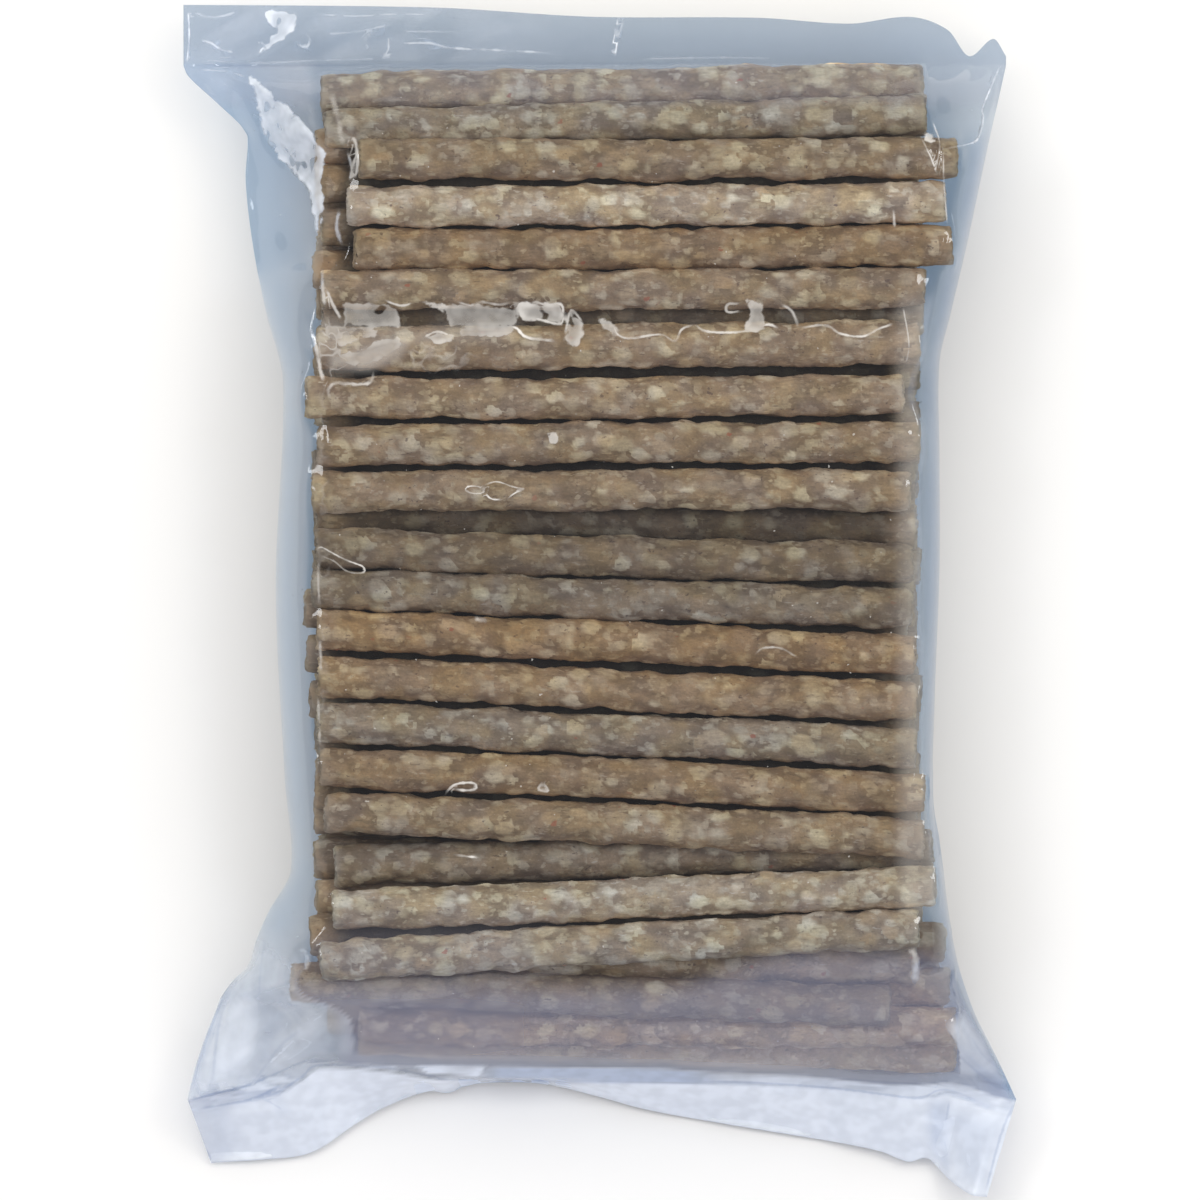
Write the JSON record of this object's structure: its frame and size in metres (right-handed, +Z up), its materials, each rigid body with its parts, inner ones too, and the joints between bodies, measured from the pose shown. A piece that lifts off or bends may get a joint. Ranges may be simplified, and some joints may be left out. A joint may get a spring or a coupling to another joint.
{
  "type": "bag of chew sticks",
  "caption": "Clear sealed bag packed with layers of pressed chew sticks, lying flat, with a straight hem at one end and a loose flap at the other.",
  "frame": {"origin": "on the surface the bag lies on, under the middle of the bag", "axes": "+X along the sticks, +Y from the loose flap to the straight hem, +Z up from the surface, towards the shown side"},
  "size_m": [0.174, 0.2492, 0.0423],
  "materials": {
    "film": "clear thin bag film, glossy and slightly blue-grey, over tan sticks",
    "stick": "dry pressed hide, tan with pale flakes and dark pits"
  },
  "bodies": {
    "root": {"bag": "film"}
  },
  "joints": []
}
